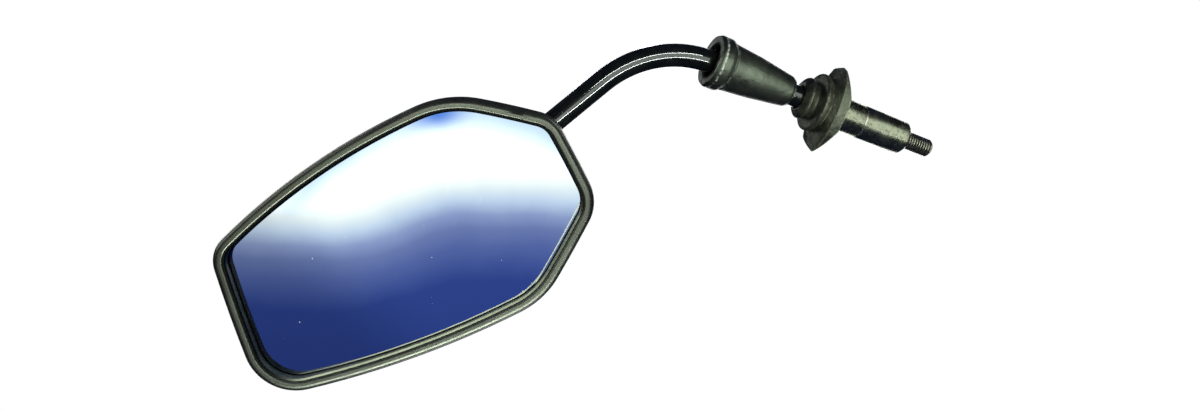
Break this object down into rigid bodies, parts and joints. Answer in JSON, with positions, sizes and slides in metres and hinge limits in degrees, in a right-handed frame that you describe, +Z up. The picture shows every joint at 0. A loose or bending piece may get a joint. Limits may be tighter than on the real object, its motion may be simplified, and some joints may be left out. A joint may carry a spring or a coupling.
{
  "type": "motorcycle mirror",
  "caption": "Left-hand rear-view mirror: six-sided convex glass in a moulded housing on a ball joint, bent steel stem with rubber boots and a threaded mounting adapter.",
  "frame": {"origin": "centre of the adapter's lower shoulder, where the stud begins", "axes": "+Z up the stud's and lower stem's axis, the stem bends towards -X and the glass faces the rider, roughly along -Y"},
  "size_m": [0.211, 0.0514, 0.2808],
  "materials": {
    "adapter_steel": "turned, worn and scratched",
    "grommet_rubber": "matt moulded rubber",
    "fastener_steel": "zinc plated",
    "stem_paint": "gloss black",
    "boot_rubber": "satin moulded rubber",
    "cup_plastic": "natural bearing plastic",
    "shell_plastic": "fine-grained black",
    "carrier_plastic": "plain moulded",
    "pad_foam": "bonding pad",
    "mirror": "blue-tinted convex mirror",
    "seal_rubber": "soft edge trim"
  },
  "bodies": {
    "mount": {"mount_adapter": "adapter_steel", "base_grommet": "grommet_rubber"},
    "stem": {"stem_rod": "stem_paint", "stem_boot": "boot_rubber", "lock_nut": "fastener_steel", "lock_washer": "fastener_steel"},
    "rear_cup": {"ball_cup_rear": "cup_plastic"},
    "front_cup": {"ball_cup_front": "cup_plastic"},
    "head": {"back_shell": "shell_plastic", "glass_seal": "seal_rubber", "mirror_glass": "mirror", "glass_pad": "pad_foam", "glass_carrier": "carrier_plastic", "carrier_screws": "fastener_steel", "clamp_plate": "fastener_steel", "clamp_screws": "fastener_steel", "disc_springs": "fastener_steel"}
  },
  "joints": [
    {"name": "stem_turn", "type": "hinge", "parent": "mount", "child": "stem", "pos_m": [0, 0, 0.0405], "axis": [0, 0, 1], "range_deg": [-45, 45]},
    {"name": "mirror_roll", "type": "hinge", "parent": "stem", "child": "rear_cup", "pos_m": [-0.0673, 0, 0.16557], "axis": [-0.866, 0, 0.5], "range_deg": [-20, 20]},
    {"name": "mirror_tilt", "type": "hinge", "parent": "rear_cup", "child": "front_cup", "pos_m": [-0.0673, 0, 0.16557], "axis": [0.4925, 0.172, 0.8531], "range_deg": [-10, 10]},
    {"name": "mirror_swing", "type": "hinge", "parent": "front_cup", "child": "head", "pos_m": [-0.0673, 0, 0.16557], "axis": [0, -0.9803, 0.1977], "range_deg": [-10, 10]}
  ]
}
